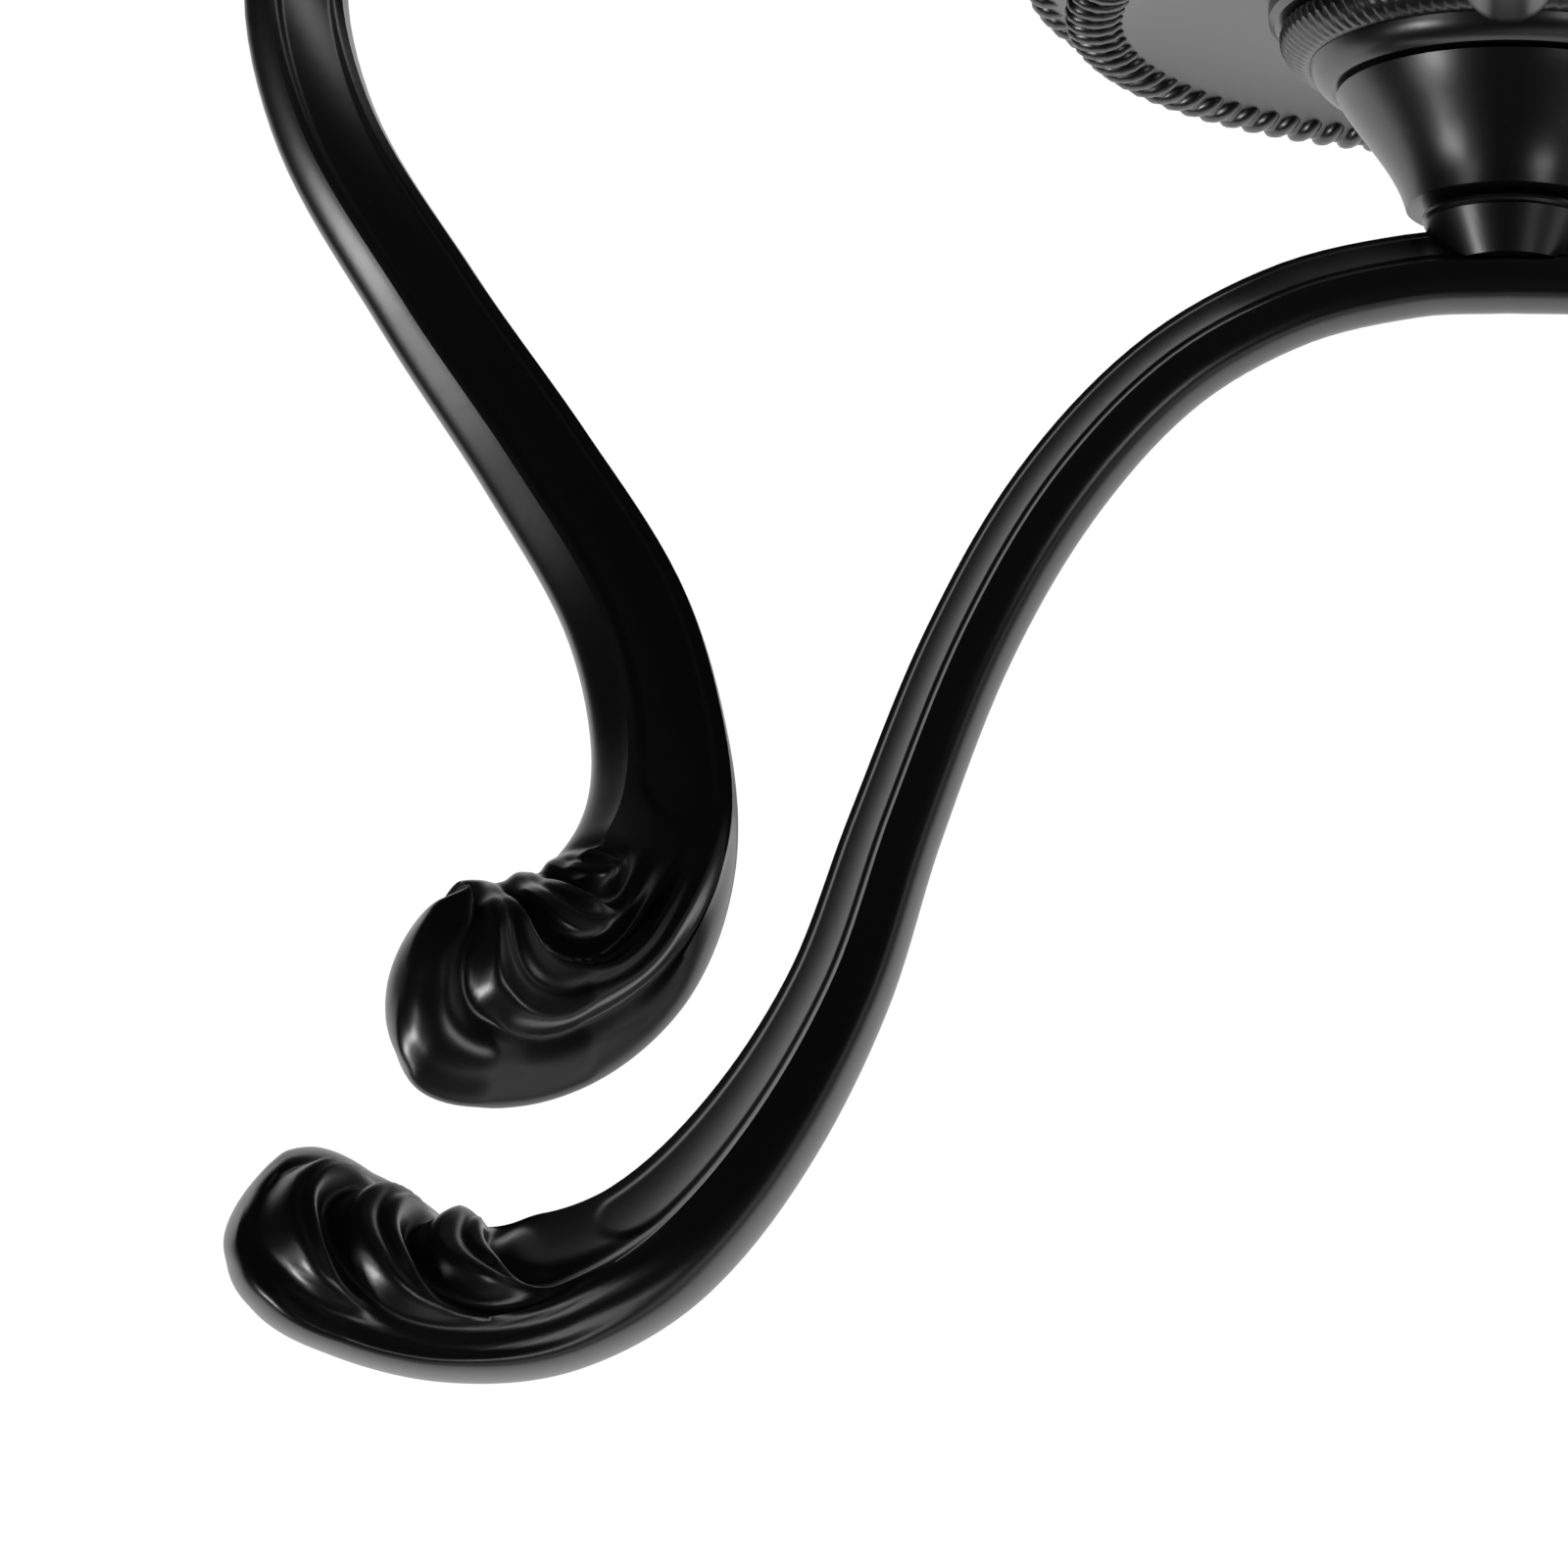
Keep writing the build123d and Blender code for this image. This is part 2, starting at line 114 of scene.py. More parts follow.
# Ribs of the leaf tips in millimetres, from the rim back: how far the crown of the C lies from
# the end, how deep the C is, where its middle lies across the face, and half its width there
LOWER_LEAF = [
    (0.3, 7.0, 0.6, 6.2),
    (4.2, 7.5, 0.3, 5.4),
    (9.8, 5.8, -0.3, 4.4),
    (15.8, 3.6, -0.8, 3.4),
]
UPPER_LEAF = [
    (2.8, 6.0, -1.8, 5.4),
    (8.4, 5.0, -3.6, 4.0),
    (14.4, 3.6, -4.2, 3.0),
    (19.6, 2.8, -4.6, 2.4),
]
RIB_RISE = 0.65
RIB_FLANK = 1.1        # width of the slope from a rib down into the valley beside it
RIB_REACH = 1.0        # how far a rib's slope reaches where no valley lies beside it
VALLEY_DEPTH = 1.2
VALLEY_SPAN = 4.0      # valleys narrower than this are shallower
LINE_RISE = 0.25       # thin raised line along the middle of each valley
LINE_PLACE = 0.52      # its place and width, as shares of the valley's width
LINE_WIDTH = 0.07
LINE_SPAN = 1.5        # valleys narrower than this have no line

# Edges of the leaf: distances are measured from the arm's edge, outwards unless said otherwise
UPPER_LOWERING = 0.7   # share of their height that ribs lose towards the upper edge
UPPER_LOWERED_INSIDE = (3.6, 0.6)
UPPER_FADE = 2.0
LOWER_FADE = (4.0, 7.0)
LEAF_LENGTH = 22.0
LEAF_FADE = 5.0        # length over which the ribs fade into the plain arm
STREAK_LENGTH = 30.0   # the lower legs of the ribs run on as streaks, up to here
STREAK_SIDE = 3.0
STREAK_FADE = 4.0

CORNER_DROP = 0.45     # how much lower the face's corners lie in the leaf, as a share of FACE
CORNER_DROP_START = 13.0
PANEL_START = 24.0
PANEL_ROUND = 3.5      # length of the U in which the panel ends
PANEL_WIDTH = 0.58     # share of the arm's width
PANEL_SLOPE = 0.75     # the panel's edge slopes from this share of its width
PANEL_DEPTH = 0.14

# Distances between the rings of points along an arm
ALONG_STEP_ARM = 1.2
ALONG_STEP_LEAF = 0.24
ALONG_STEP_END = 0.05
PANEL_MARGIN = 5.0     # the closer rings begin this far before the panel's end
END_LENGTH = 1.6
LAST_RING = 0.02       # the last ring lies this far before the end
AXIS_REACH = 0.3       # the arm's direction is taken this far ahead and behind
TIP_ROUND = 6.5        # over this length the leaf closes as a rounded end
TIP_POWER = 2.5
TIP_FADE = 0.8         # ribs fade out over this last length
FACE_POINTS = 44
BACK_POINTS = 80

# Saddles by which the arms stand on the neck and on the stem: foot, head and the radii there
LOWER_SADDLE = ((0, -18.22, 0), (0, -20.9, 0), 5.2, 3.7)
UPPER_SADDLE = ((0, -9.2, 42.02), (0, -9.2, 45.4), 2.9, 3.1)

TURN_STEPS = 160
STUD_HOLE_R = 3.15

# Back rosette: the flat of the disc and the hollow behind it, and its rope edge
BACK_PROFILE = [
    (STUD_HOLE_R, 3.4), (STUD_HOLE_R, 2.1), (25.9, 2.1), (27.5, 1.1), (27.5, 0.0), (28.9, 0.0),
    (28.9, 1.2), (29.4, 2.1), (28.9, 3.1), (28.0, 3.4),
]
BACK_ROPE = (28.5, 2.15)         # radius and distance out of the rope's middle
BACK_BEADS = 80
BACK_BEAD = (1.5, 1.5, 1.1)      # half the bead's length along each of its axes
BACK_BEAD_LEAN = (0.5, 0, 0)     # in radians

# Front rosette: a dish whose rim carries a finer rope
DISH_BACK_OUT = 3.42
DISH_FLOOR_R = 14.8
DISH_FLOOR_OUT = 4.5
BOWL_WIDTH = 9.6
BOWL_RISE = 0.85
BOWL_STEPS = 12
DISH_RIM_R = 0.92
DISH_RIM_ARC = (120, -110)       # in degrees from straight outwards
DISH_RIM_STEPS = 14
DISH_STEP_R = 23.5               # where the dish's back meets its rim
DISH_ROPE = (25.55, 4.9)
DISH_BEADS = 96
DISH_BEAD = (1.9, 1.25, 0.84)
DISH_BEAD_LEAN = (0.45, 0, 0)

# Collar: half section of its round side, and the fine slanted flutes in it
COLLAR_SIDE = [
    (3.15, 5.53), (12.6, 5.53), (13.6, 5.53), (14.0, 5.8), (14.15, 6.2), (14.1, 6.7),
    (13.8, 7.2), (13.3, 7.7), (12.9, 7.95), (12.5, 8.08), (3.15, 8.08),
]
COLLAR_FLUTES = 104
STEPS_PER_FLUTE = 8
FLUTE_DEPTH = 0.16
FLUTE_LEAN = 1.6       # flutes by which the slant shifts over the collar's width

# Angles in degrees from which an edge is drawn as a crease
ARM_CREASE = 60
TURNED_CREASE = 38
FLUTED_CREASE = 50

# Finishes
COAT_IOR = 1.9         # thick gloss lacquer, which turns pale where it is seen edge on
STEEL_NODES = ("wall_bracket", "central_stud", "lower_arm_stud", "upper_arm_stud", "stem_screw")

# Floor: where it lies, and how bright it is to the camera and in gloss
FLOOR_HALF = 3.0
FLOOR_MIDDLE = (0.03, 0.08)
FLOOR_BELOW = 0.25
FLOOR_WHITE = 1.06
FLOOR_GLOW_SHARE = 0.96          # the rest of its finish takes the hook's shadow
BRIGHT_FORWARD = 0.42            # gloss shows it brightest this far in front of its middle
BRIGHT_FADE = (0.48, 0.95)       # distances from there between which it darkens
FLOOR_DIM = 0.03

# World in gloss: a dark room with a pale screen low down at the front right
ROOM_STRENGTH = 0.012
SCREEN_STRENGTH = 0.6
SCREEN_TOWARDS = (0.87, -0.5, 0.0)
SCREEN_EDGE = 0.1                # cosine of the angle from its middle at which it begins
SCREEN_TOP = 0.35                # sine of the angle above the horizon at which it ends

# Lamps: name, place, size and power in watts
LAMP_AIM = (0, -0.045, 0.01)
LAMPS = [
    ("left softbox", (-0.9, -0.5, 0.9), 0.4, 0.6),
    ("right softbox", (0.8, -0.6, 1.0), 0.4, 1.2),
    ("low left softbox", (-0.9, -0.8, 0.5), 0.3, 3.5),
]


def smooth(low, high, value):
    """Rise smoothly from 0 at low to 1 at high."""
    share = min(max((value - low) / (high - low), 0.0), 1.0)
    return share * share * (3 - 2 * share)


def through(points, distances, at):
    """A smooth curve through the points, which are tuples of numbers, at a distance along it."""
    last = len(points) - 1
    index = 0
    while index < last - 1 and distances[index + 1] < at:
        index += 1
    start, end = distances[index], distances[index + 1]
    span = end - start
    share = (at - start) / span

    def slope(position):
        before = max(position - 1, 0)
        after = min(position + 1, last)
        gap = distances[after] - distances[before]
        return [(b - a) / gap for a, b in zip(points[before], points[after])]

    square = share * share
    cube = square * share
    weights = (
        2 * cube - 3 * square + 1,
        (cube - 2 * square + share) * span,
        -2 * cube + 3 * square,
        (cube - square) * span,
    )
    return [
        weights[0] * p + weights[1] * m + weights[2] * q + weights[3] * n
        for p, m, q, n in zip(
            points[index], slope(index), points[index + 1], slope(index + 1)
        )
    ]


def section_outline(width, thick, corner_drop):
    """Points round one section as (across, out of the face, place), face first, in millimetres.

    The place is 0 in the middle of the flat face, grows to either side and goes on round the
    back, so that a rib can run over the edge.
    """
    half = width / 2
    points = []
    for index in range(FACE_POINTS):
        share = 1 - 2 * index / (FACE_POINTS - 1)
        height = FACE * (1 - corner_drop * abs(share) ** 3) - SUNK * (1 - share * share)
        across = share * CREASE * half
        points.append((across, height * thick, across))
    corner = FACE * (1 - corner_drop)
    back = [
        (-CREASE, corner), (-1.0, 0.0), (-0.62, -0.42), (0.0, -0.58),
        (0.62, -0.42), (1.0, 0.0), (CREASE, corner),
    ]
    lengths = [0.0]
    for first, second in zip(back, back[1:]):
        lengths.append(lengths[-1] + math.dist(first, second))
    for index in range(1, BACK_POINTS):
        at = lengths[-1] * index / BACK_POINTS
        across, height = through(back, lengths, at)
        side = -1 if at < lengths[-1] / 2 else 1
        round_back = min(at, lengths[-1] - at) * (half + thick) / 2
        points.append((across * half, height * thick, side * (CREASE * half + round_back)))
    return points


def rib_distance(rib, from_end, place):
    """Millimetres from the line of a rib, negative inside its C."""
    crown, depth, middle, spread = rib
    ahead = max(crown + depth - from_end, 0.0) / depth
    side = (place - middle) / spread
    return (math.hypot(ahead, side) - 1) * min(depth, spread)


def rib_relief(ribs, from_end, place):
    """Height of ribs and valleys over the plain arm, before they fade at the leaf's edges."""
    distances = [rib_distance(rib, from_end, place) for rib in ribs]
    outside = [index for index, distance in enumerate(distances) if distance > 0]
    first_outside = outside[0] if outside else len(distances)
    if first_outside == 0:
        return RIB_RISE * math.exp(-((distances[0] / RIB_REACH) ** 2))
    if first_outside == len(distances):
        return RIB_RISE * math.exp(-((distances[-1] / RIB_REACH) ** 2))
    behind = -distances[first_outside - 1]
    gap = behind + distances[first_outside]
    fall = smooth(0.0, RIB_FLANK, behind) * smooth(0.0, RIB_FLANK, gap - behind)
    depth = (RIB_RISE + VALLEY_DEPTH) * smooth(0.0, VALLEY_SPAN, gap)
    off_line = (behind / gap - LINE_PLACE) / LINE_WIDTH
    line = LINE_RISE * math.exp(-(off_line ** 2)) * smooth(LINE_SPAN, VALLEY_SPAN, gap)
    return RIB_RISE - depth * fall + line


def leaf_height(ribs, from_end, place, half):
    """How far the leaf's surface stands out of the plain arm there, in millimetres."""
    height = rib_relief(ribs, from_end, place)
    lowered_from, lowered_to = (half - inside for inside in UPPER_LOWERED_INSIDE)
    height *= 1 - UPPER_LOWERING * smooth(lowered_from, lowered_to, -place)
    height *= 1 - smooth(half, half + UPPER_FADE, -place)
    height *= 1 - smooth(half + LOWER_FADE[0], half + LOWER_FADE[1], place)
    streaked = smooth(0.0, STREAK_SIDE, place)
    fade_start = LEAF_LENGTH - LEAF_FADE - STREAK_FADE * streaked
    fade_end = LEAF_LENGTH + (STREAK_LENGTH - LEAF_LENGTH) * streaked
    return height * (1 - smooth(fade_start, fade_end, from_end))


def panel_height(from_end, place, half):
    """The shallow panel in the flat face, which ends in a U before the leaf."""
    if abs(place) > CREASE * half:
        return 0.0
    ahead = max(PANEL_START + PANEL_ROUND - from_end, 0.0) / PANEL_ROUND
    radius = math.hypot(ahead, place / (PANEL_WIDTH * half))
    return -PANEL_DEPTH * (1 - smooth(PANEL_SLOPE, 1.0, radius))


def ring_places(length):
    """Distances along the arm at which it gets a ring, closer in the leaf and at its end."""
    places = []
    at = 0.0
    while at < length - LAST_RING:
        places.append(at)
        left = length - at
        if left > PANEL_START + PANEL_MARGIN:
            at += ALONG_STEP_ARM
        elif left > END_LENGTH:
            at += ALONG_STEP_LEAF
        else:
            at += ALONG_STEP_END
    places.append(length - LAST_RING)
    return places


def tip_share(from_end):
    """How much of its full width the leaf has there, as it rounds off to its end."""
    if from_end >= TIP_ROUND:
        return 1.0
    return (1 - (1 - from_end / TIP_ROUND) ** TIP_POWER) ** (1 / TIP_POWER)


def arm_axes(points, distances, at, tilt):
    """Unit vectors across the face and out of it, at a distance along the arm."""
    ahead = Vector(through(points, distances, min(at + AXIS_REACH, distances[-1]))[:3])
    behind = Vector(through(points, distances, max(at - AXIS_REACH, 0.0))[:3])
    along = (ahead - behind).normalized()
    if at == 0:
        along = Vector((-1, 0, 0))
    up = (Vector((0, 0, 1)) - along * along.z).normalized()
    left = along.cross(up)
    tilt = math.radians(tilt)
    face_out = up * math.cos(tilt) + left * math.sin(tilt)
    return face_out.cross(along), face_out


def carved_outline(outline, ribs, from_end, half):
    """The section's points as (across, out of the face), moved by the panel and the leaf."""
    fade = smooth(0.0, TIP_FADE, from_end)
    count = len(outline)
    carved = []
    for index, (across, out, place) in enumerate(outline):
        before = outline[index - 1]
        after = outline[(index + 1) % count]
        run = Vector((after[0] - before[0], after[1] - before[1]))
        outward = Vector((-run.y, run.x)).normalized()
        lift = panel_height(from_end, place, half)
        if from_end < STREAK_LENGTH:
            lift += fade * leaf_height(ribs, from_end, place, half)
        carved.append((across + outward.x * lift, out + outward.y * lift))
    return carved


def arm_rings(stations, ribs):
    """Rings of points in metres along one arm, from the middle of the bar to the tip."""
    points = [(x, -out, z, width, thick, tilt) for x, out, z, width, thick, tilt in stations]
    distances = [0.0]
    for first, second in zip(points, points[1:]):
        distances.append(distances[-1] + math.dist(first[:3], second[:3]))
    length = distances[-1]
    rings = []
    for at in ring_places(length):
        middle = Vector(through(points, distances, at)[:3])
        width, thick, tilt = through(points, distances, min(at, length - TIP_ROUND))[3:]
        across_way, face_out = arm_axes(points, distances, at, tilt)
        from_end = length - at
        width *= tip_share(from_end)
        thick *= tip_share(from_end)
        drop = CORNER_DROP * (1 - smooth(CORNER_DROP_START, LEAF_LENGTH, from_end))
        outline = section_outline(width, thick, drop)
        rings.append([
            (middle + across_way * across + face_out * out) * MM
            for across, out in carved_outline(outline, ribs, from_end, width / 2)
        ])
    return rings


def bridge(shape, near, far):
    """Join two closed rings of corners by faces."""
    count = len(near)
    for index in range(count):
        after = (index + 1) % count
        shape.faces.new((near[index], near[after], far[after], far[index]))


def finished_mesh(shape, name, material, crease):
    """Turn a shape into a smooth mesh of one material, creased from that many degrees on."""
    bmesh.ops.recalc_face_normals(shape, faces=shape.faces)
    mesh = bpy.data.meshes.new(name)
    shape.to_mesh(mesh)
    shape.free()
    mesh.materials.append(material)
    mesh.polygons.foreach_set("use_smooth", [True] * len(mesh.polygons))
    mesh.set_sharp_from_angle(angle=math.radians(crease))
    return mesh


def add_saddle(shape, saddle):
    """The short round saddle that joins a pair of arms to the piece that carries it."""
    foot, head, foot_radius, head_radius = saddle
    foot = Vector(foot) * MM
    head = Vector(head) * MM
    turn = (head - foot).to_track_quat("Z", "Y").to_matrix().to_4x4()
    bmesh.ops.create_cone(
        shape,
        cap_ends=True,
        segments=64,
        radius1=foot_radius * MM,
        radius2=head_radius * MM,
        depth=(head - foot).length,
        matrix=Matrix.Translation((foot + head) / 2) @ turn,
    )


def build_arm_pair(name, stations, ribs, saddle, node, material):
    """A mesh of both arms of a pair, which stands for the CAD casting."""
    rings = arm_rings(stations, ribs)
    shape = bmesh.new()
    shared = [shape.verts.new(point) for point in rings[0]]
    for side in (1, -1):
        near = shared
        for ring in rings[1:]:
            far = [shape.verts.new((point.x * side, point.y, point.z)) for point in ring]
            bridge(shape, near, far)
            near = far
        shape.faces.new(near)
    add_saddle(shape, saddle)
    return add_piece(name, finished_mesh(shape, name, material, ARM_CREASE), node)


def arc(middle, radius, start, end, steps):
    """Points of an arc of (radius, out), its angles in degrees from straight outwards."""
    points = []
    for index in range(steps + 1):
        angle = math.radians(start + (end - start) * index / steps)
        points.append((middle[0] + radius * math.cos(angle), middle[1] + radius * math.sin(angle)))
    return points


def dish_profile():
    """The dish's half section: floor, bowl, rim and the flat underside."""
    points = [
        (STUD_HOLE_R, DISH_BACK_OUT), (STUD_HOLE_R, DISH_FLOOR_OUT), (DISH_FLOOR_R, DISH_FLOOR_OUT)
    ]
    for index in range(1, BOWL_STEPS + 1):
        share = index / BOWL_STEPS
        rise = BOWL_RISE * share ** 3
        points.append((DISH_FLOOR_R + BOWL_WIDTH * share, DISH_FLOOR_OUT + rise))
    points += arc(DISH_ROPE, DISH_RIM_R, *DISH_RIM_ARC, DISH_RIM_STEPS)
    points.append((DISH_STEP_R, DISH_BACK_OUT))
    return points


def group_socket(tree, label, kind, default=None, side="INPUT"):
    """Add a named socket to a node tree and return its identifier."""
    socket = tree.interface.new_socket(label, in_out=side, socket_type=kind)
    if default is not None:
        socket.default_value = default
    return socket.identifier


def leaned_bead(tree, inputs):
    """The socket of one bead, scaled and leaned as the tree's inputs say."""
    nodes, links = tree.nodes, tree.links
    bead = nodes.new("GeometryNodeMeshUVSphere")
    bead.inputs["Segments"].default_value = 14
    bead.inputs["Rings"].default_value = 10
    bead.inputs["Radius"].default_value = 1.0
    shaped = nodes.new("GeometryNodeTransform")
    links.new(bead.outputs["Mesh"], shaped.inputs["Geometry"])
    links.new(inputs.outputs["Bead Size"], shaped.inputs["Scale"])
    leaned = nodes.new("GeometryNodeTransform")
    links.new(shaped.outputs["Geometry"], leaned.inputs["Geometry"])
    links.new(inputs.outputs["Lean"], leaned.inputs["Rotation"])
    return leaned.outputs["Geometry"]


def beaded_edge_tree():
    """Geometry nodes: slanted beads stood side by side round a circle in the wall's plane."""
    tree = bpy.data.node_groups.new("beaded edge", "GeometryNodeTree")
    sockets = {
        "Radius": group_socket(tree, "Radius", "NodeSocketFloat", 0.02),
        "Count": group_socket(tree, "Count", "NodeSocketInt", 90),
        "Bead Size": group_socket(tree, "Bead Size", "NodeSocketVector"),
        "Lean": group_socket(tree, "Lean", "NodeSocketVector"),
        "Finish": group_socket(tree, "Finish", "NodeSocketMaterial"),
    }
    group_socket(tree, "Geometry", "NodeSocketGeometry", side="OUTPUT")
    nodes, links = tree.nodes, tree.links
    inputs = nodes.new("NodeGroupInput")
    outputs = nodes.new("NodeGroupOutput")
    circle = nodes.new("GeometryNodeCurvePrimitiveCircle")
    links.new(inputs.outputs["Count"], circle.inputs["Resolution"])
    links.new(inputs.outputs["Radius"], circle.inputs["Radius"])
    points = nodes.new("GeometryNodeCurveToPoints")
    points.mode = "EVALUATED"
    links.new(circle.outputs["Curve"], points.inputs["Curve"])
    place = nodes.new("GeometryNodeInstanceOnPoints")
    links.new(points.outputs["Points"], place.inputs["Points"])
    links.new(leaned_bead(tree, inputs), place.inputs["Instance"])
    links.new(points.outputs["Rotation"], place.inputs["Rotation"])
    real = nodes.new("GeometryNodeRealizeInstances")
    links.new(place.outputs["Instances"], real.inputs["Geometry"])
    rounded = nodes.new("GeometryNodeSetShadeSmooth")
    links.new(real.outputs["Geometry"], rounded.inputs["Geometry"])
    finish = nodes.new("GeometryNodeSetMaterial")
    links.new(rounded.outputs["Geometry"], finish.inputs["Geometry"])
    links.new(inputs.outputs["Finish"], finish.inputs["Material"])
    links.new(finish.outputs["Geometry"], outputs.inputs["Geometry"])
    return tree, sockets


def calculated(tree, operation, *values):
    """The socket of a math node, whose inputs are linked to sockets or set to numbers."""
    node = tree.nodes.new("ShaderNodeMath")
    node.operation = operation
    for socket, value in zip(node.inputs, values):
        if isinstance(value, float):
            socket.default_value = value
        else:
            tree.links.new(value, socket)
    return node.outputs[0]


def ranged(tree, value, start, end, kind="SMOOTHSTEP"):
    """The socket of a map range node; start and end are pairs of a value and its result."""
    node = tree.nodes.new("ShaderNodeMapRange")
    node.interpolation_type = kind
    node.inputs["From Min"].default_value = start[0]
    node.inputs["From Max"].default_value = end[0]
    node.inputs["To Min"].default_value = start[1]
    node.inputs["To Max"].default_value = end[1]
    tree.links.new(value, node.inputs["Value"])
    return node.outputs["Result"]


def noise(tree, place, detail):
    """A noise node that follows the place in the object."""
    node = tree.nodes.new("ShaderNodeTexNoise")
    node.inputs["Detail"].default_value = detail
    tree.links.new(place.outputs["Object"], node.inputs["Vector"])
    return node


def surface_group():
    """A shader group: faint unevenness of a sprayed coat, with a few fine specks in it."""
    group = bpy.data.node_groups.new("sprayed surface", "ShaderNodeTree")
    group_socket(group, "Grain Scale", "NodeSocketFloat", 900.0)
    group_socket(group, "Roughness", "NodeSocketFloat", 0.3)
    group_socket(group, "Variation", "NodeSocketFloat", 0.06)
    group_socket(group, "Bump", "NodeSocketFloat", 0.05)
    group_socket(group, "Roughness", "NodeSocketFloat", side="OUTPUT")
    group_socket(group, "Speck", "NodeSocketFloat", side="OUTPUT")
    group_socket(group, "Normal", "NodeSocketVector", side="OUTPUT")
    nodes, links = group.nodes, group.links
    inputs = nodes.new("NodeGroupInput")
    outputs = nodes.new("NodeGroupOutput")
    place = nodes.new("ShaderNodeTexCoord")
    cloud = noise(group, place, 3.0)
    cloud.inputs["Scale"].default_value = 55.0
    centred = calculated(group, "SUBTRACT", cloud.outputs["Fac"], 0.5)
    roughness = calculated(
        group, "MULTIPLY_ADD", centred, inputs.outputs["Variation"], inputs.outputs["Roughness"]
    )
    links.new(roughness, outputs.inputs["Roughness"])
    grain = noise(group, place, 2.0)
    links.new(inputs.outputs["Grain Scale"], grain.inputs["Scale"])
    bump = nodes.new("ShaderNodeBump")
    bump.inputs["Distance"].default_value = 0.00006
    links.new(inputs.outputs["Bump"], bump.inputs["Strength"])
    links.new(grain.outputs["Fac"], bump.inputs["Height"])
    links.new(bump.outputs["Normal"], outputs.inputs["Normal"])
    specks = nodes.new("ShaderNodeTexVoronoi")
    specks.inputs["Scale"].default_value = 420.0
    links.new(place.outputs["Object"], specks.inputs["Vector"])
    speck = ranged(group, specks.outputs["Distance"], (0.03, 1.0), (0.06, 0.0), "LINEAR")
    links.new(speck, outputs.inputs["Speck"])
    return group


def coated_metal(name, colour, speck_colour, roughness, variation, bump, metallic=0.0):
    """A finish whose roughness, specks and grain come from the shared surface group."""
    material = bpy.data.materials.new(name)
    material.use_nodes = True
    nodes, links = material.node_tree.nodes, material.node_tree.links
    shader = nodes["Principled BSDF"]
    surface = nodes.new("ShaderNodeGroup")
    surface.node_tree = SURFACE
    surface.inputs["Roughness"].default_value = roughness
    surface.inputs["Variation"].default_value = variation
    surface.inputs["Bump"].default_value = bump
    mix = nodes.new("ShaderNodeMix")
    mix.data_type = "RGBA"
    mix.inputs["A"].default_value = (*colour, 1)
    mix.inputs["B"].default_value = (*speck_colour, 1)
    links.new(surface.outputs["Speck"], mix.inputs["Factor"])
    links.new(mix.outputs["Result"], shader.inputs["Base Color"])
    links.new(surface.outputs["Roughness"], shader.inputs["Roughness"])
    links.new(surface.outputs["Normal"], shader.inputs["Normal"])
    shader.inputs["Metallic"].default_value = metallic
    shader.inputs["IOR"].default_value = COAT_IOR
    return material


def add_piece(name, mesh, *nodes):
    """Put a finished black mesh in the scene, riding on the hook in place of its CAD nodes."""
    piece = bpy.data.objects.new(name, mesh)
    bpy.context.scene.collection.objects.link(piece)
    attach(piece, "root")
    if nodes:
        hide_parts(*nodes)
    return piece


def build_turned(name, profile, node, material):
    """Revolve a profile of (radius, out) millimetres about the rosette's axis."""
    shape = bmesh.new()
    corners = [shape.verts.new((radius * MM, -out * MM, 0)) for radius, out in profile]
    ring = corners + [corners[0]]
    edges = [shape.edges.new(pair) for pair in zip(ring, ring[1:])]
    bmesh.ops.spin(
        shape,
        geom=corners + edges,
        axis=(0, 1, 0),
        cent=(0, 0, 0),
        angle=2 * math.pi,
        steps=TURN_STEPS,
        use_merge=True,
    )
    bmesh.ops.remove_doubles(shape, verts=shape.verts, dist=1e-7)
    return add_piece(name, finished_mesh(shape, name, material, TURNED_CREASE), node)


def build_fluted(name, profile, count, node, material):
    """Revolve a half section whose middle points follow fine slanted flutes round the axis."""
    shape = bmesh.new()
    steps = count * STEPS_PER_FLUTE
    lowest = profile[0][1]
    highest = profile[-1][1]
    columns = []
    for step in range(steps):
        turn = 2 * math.pi * step / steps
        column = []
        for order, (radius, out) in enumerate(profile):
            slant = FLUTE_LEAN * 2 * math.pi * (out - lowest) / (highest - lowest)
            if 1 < order < len(profile) - 2:
                radius -= FLUTE_DEPTH * (0.5 - 0.5 * math.cos(count * turn + slant)) ** 2
            column.append(shape.verts.new(
                (radius * MM * math.cos(turn), -out * MM, radius * MM * math.sin(turn))
            ))
        columns.append(column)
    for step, near in enumerate(columns):
        bridge(shape, near, columns[(step + 1) % steps])
    return add_piece(name, finished_mesh(shape, name, material, FLUTED_CREASE), node)


def build_beaded_edge(name, rope, count, bead_size, lean, material):
    """Stand slanted beads round a rope's middle, given as (radius, out), by geometry nodes."""
    radius, out = rope
    carrier = bpy.data.objects.new(name + "_carrier", bpy.data.meshes.new(name + "_carrier"))
    bpy.context.scene.collection.objects.link(carrier)
    modifier = carrier.modifiers.new("beads", "NODES")
    modifier.node_group = BEAD_TREE
    modifier[BEAD_SOCKETS["Radius"]] = radius * MM
    modifier[BEAD_SOCKETS["Count"]] = count
    modifier[BEAD_SOCKETS["Bead Size"]] = Vector(bead_size) * MM
    modifier[BEAD_SOCKETS["Lean"]] = lean
    modifier[BEAD_SOCKETS["Finish"]] = material
    evaluated = carrier.evaluated_get(bpy.context.evaluated_depsgraph_get())
    mesh = bpy.data.meshes.new_from_object(evaluated)
    mesh.name = name
    bpy.data.objects.remove(carrier)
    mesh.transform(Matrix.Translation((0, -out * MM, 0)) @ Matrix.Rotation(math.pi / 2, 4, "X"))
    return add_piece(name, mesh)


